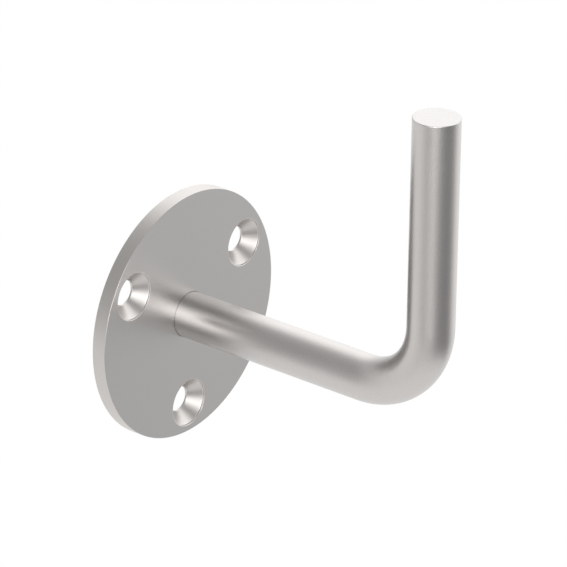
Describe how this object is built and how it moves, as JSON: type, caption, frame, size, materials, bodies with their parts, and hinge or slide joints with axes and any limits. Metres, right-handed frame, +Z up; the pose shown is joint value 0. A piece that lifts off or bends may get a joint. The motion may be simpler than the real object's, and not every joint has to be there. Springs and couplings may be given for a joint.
{
  "type": "handrail bracket",
  "caption": "Round wall plate with countersunk screw holes and a round bar that stands out of its middle and bends up at a right angle to carry a handrail.",
  "frame": {"origin": "centre of the wall plate's back face, on the axis of the rod's straight leg, in the plane of the wall", "axes": "-Y out of the wall along the straight leg, +Z up along the upright leg, X across the plate; the part is symmetric about X = 0"},
  "size_m": [0.066, 0.0865, 0.1085],
  "materials": {
    "plate_steel": "satin, finely ground and blasted stainless steel",
    "rod_steel": "satin, finely ground and blasted stainless steel",
    "weld_steel": "weld metal dressed flat"
  },
  "bodies": {
    "root": {"wall_plate": "plate_steel", "bent_rod": "rod_steel", "rear_weld": "weld_steel"}
  },
  "joints": []
}
